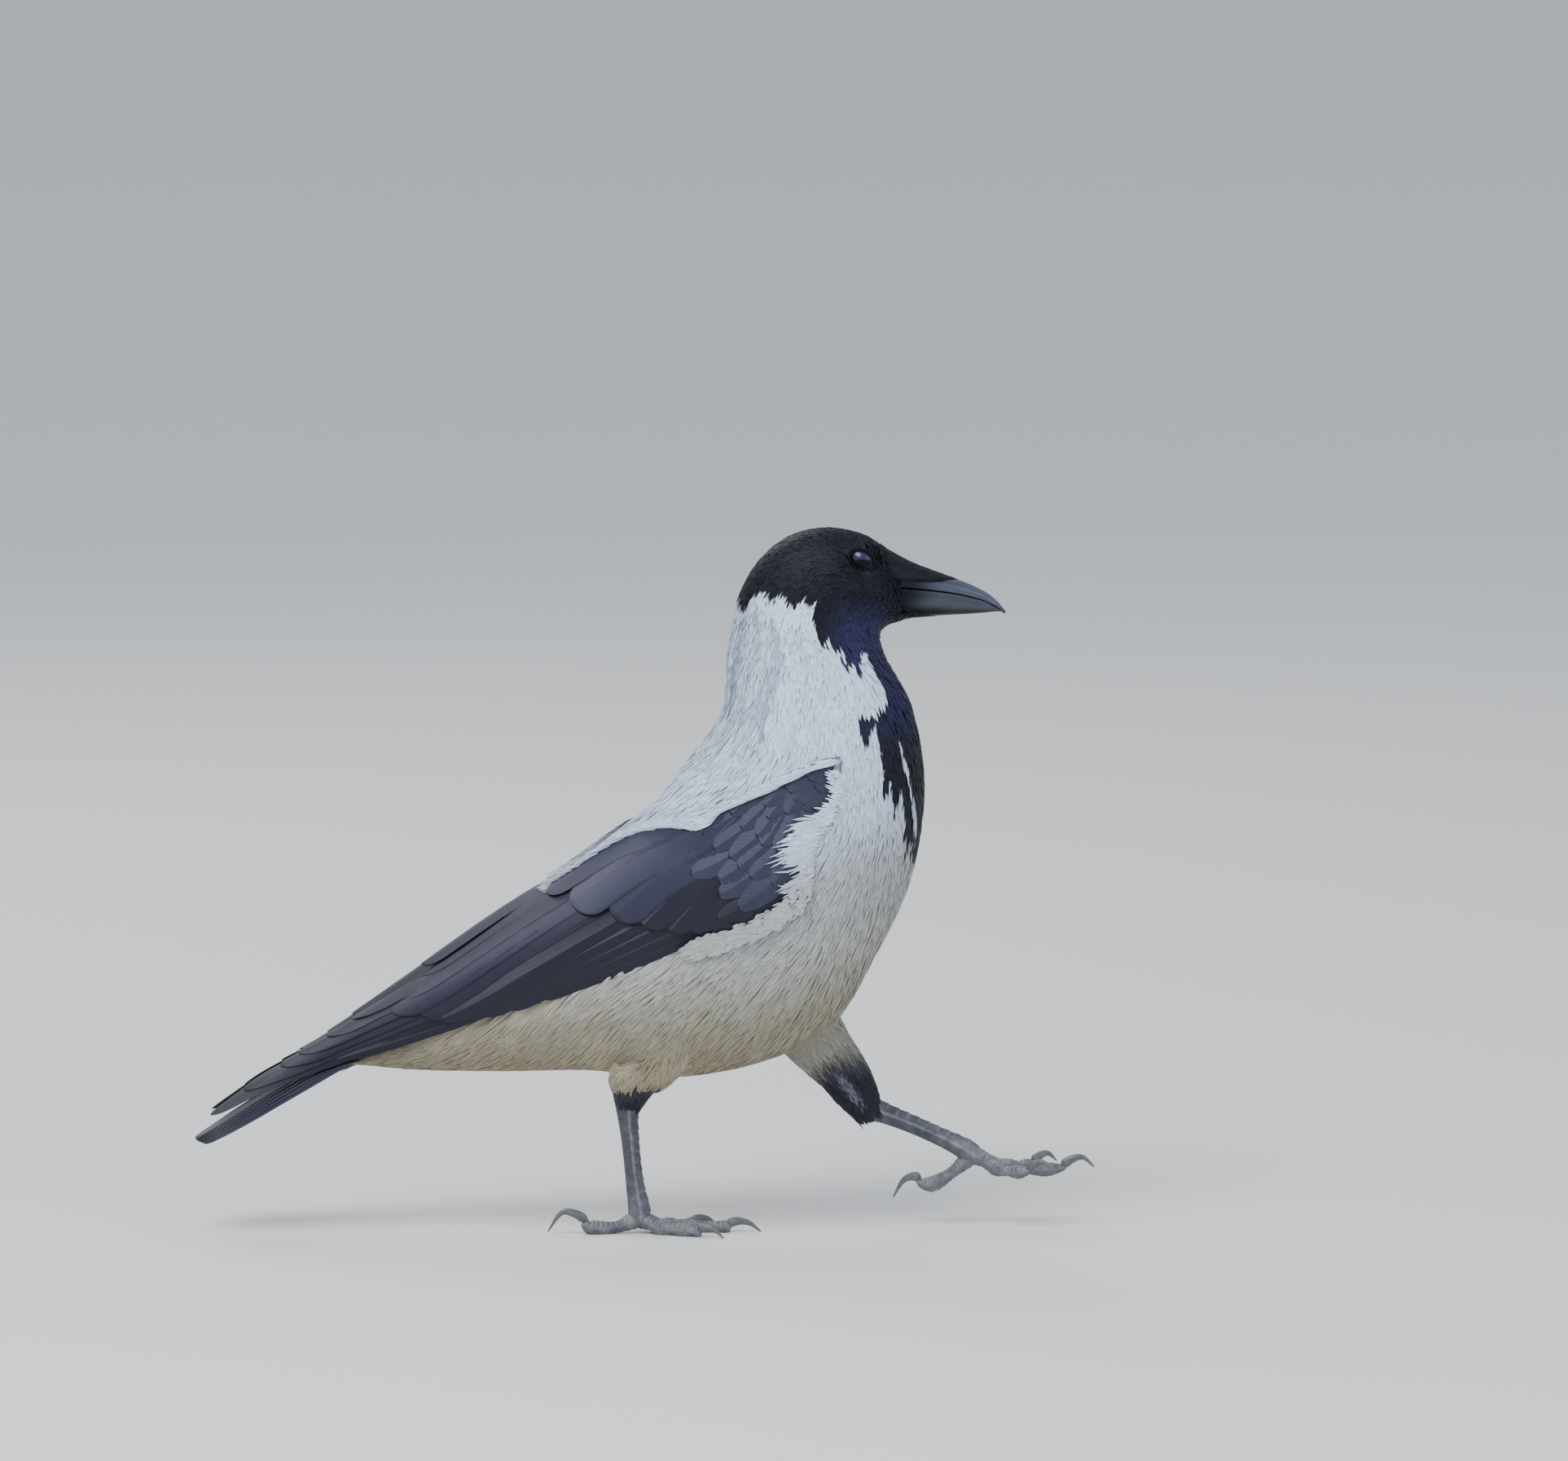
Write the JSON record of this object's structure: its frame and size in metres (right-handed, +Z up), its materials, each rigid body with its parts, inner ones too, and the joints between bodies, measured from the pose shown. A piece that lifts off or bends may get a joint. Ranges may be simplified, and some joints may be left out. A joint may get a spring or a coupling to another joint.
{
  "type": "hooded crow",
  "caption": "Life-size hooded crow in mid-stride, with a grey body and a black head, throat, wings and tail.",
  "frame": {"origin": "on the floor, in the middle of the box that holds the crow, bill tip to tail tip and claw to crown", "axes": "+X the way the crow walks and its bill points, +Y its left, +Z up"},
  "size_m": [0.427, 0.1038, 0.3355],
  "materials": {
    "grey_plumage": "soft matte body feathers, pale ash grey, warmer on the belly",
    "black_plumage": "short dense black feathers with a blue gloss on the throat",
    "leg_plumage": "short grey feathers mottled with black towards the heel",
    "flight_feathers": "smooth black vanes with a faint violet-blue sheen",
    "bill_horn": "satin dark slate horn",
    "claw_horn": "satin black horn",
    "eye": "polished very dark brown",
    "leg_scales": "dull dark grey scaly skin, dusty in the furrows"
  },
  "bodies": {
    "root": {"bill_bristles": "black_plumage", "bill_lower": "bill_horn", "bill_upper": "bill_horn", "claw_left_1": "claw_horn", "claw_left_2": "claw_horn", "claw_left_3": "claw_horn", "claw_left_4": "claw_horn", "claw_right_1": "claw_horn", "claw_right_2": "claw_horn", "claw_right_3": "claw_horn", "claw_right_4": "claw_horn", "eye_left": "eye", "eye_right": "eye", "head": "black_plumage", "neck": "grey_plumage", "shank_left": "leg_scales", "shank_right": "leg_scales", "tail": "flight_feathers", "thigh_left": "leg_plumage", "thigh_right": "leg_plumage", "toe_left_1": "leg_scales", "toe_left_2": "leg_scales", "toe_left_3": "leg_scales", "toe_left_4": "leg_scales", "toe_right_1": "leg_scales", "toe_right_2": "leg_scales", "toe_right_3": "leg_scales", "toe_right_4": "leg_scales", "trunk": "grey_plumage", "wing_left_coverts": "flight_feathers", "wing_left_primaries": "flight_feathers", "wing_left_secondaries": "flight_feathers", "wing_right_coverts": "flight_feathers", "wing_right_primaries": "flight_feathers", "wing_right_secondaries": "flight_feathers"}
  },
  "joints": []
}
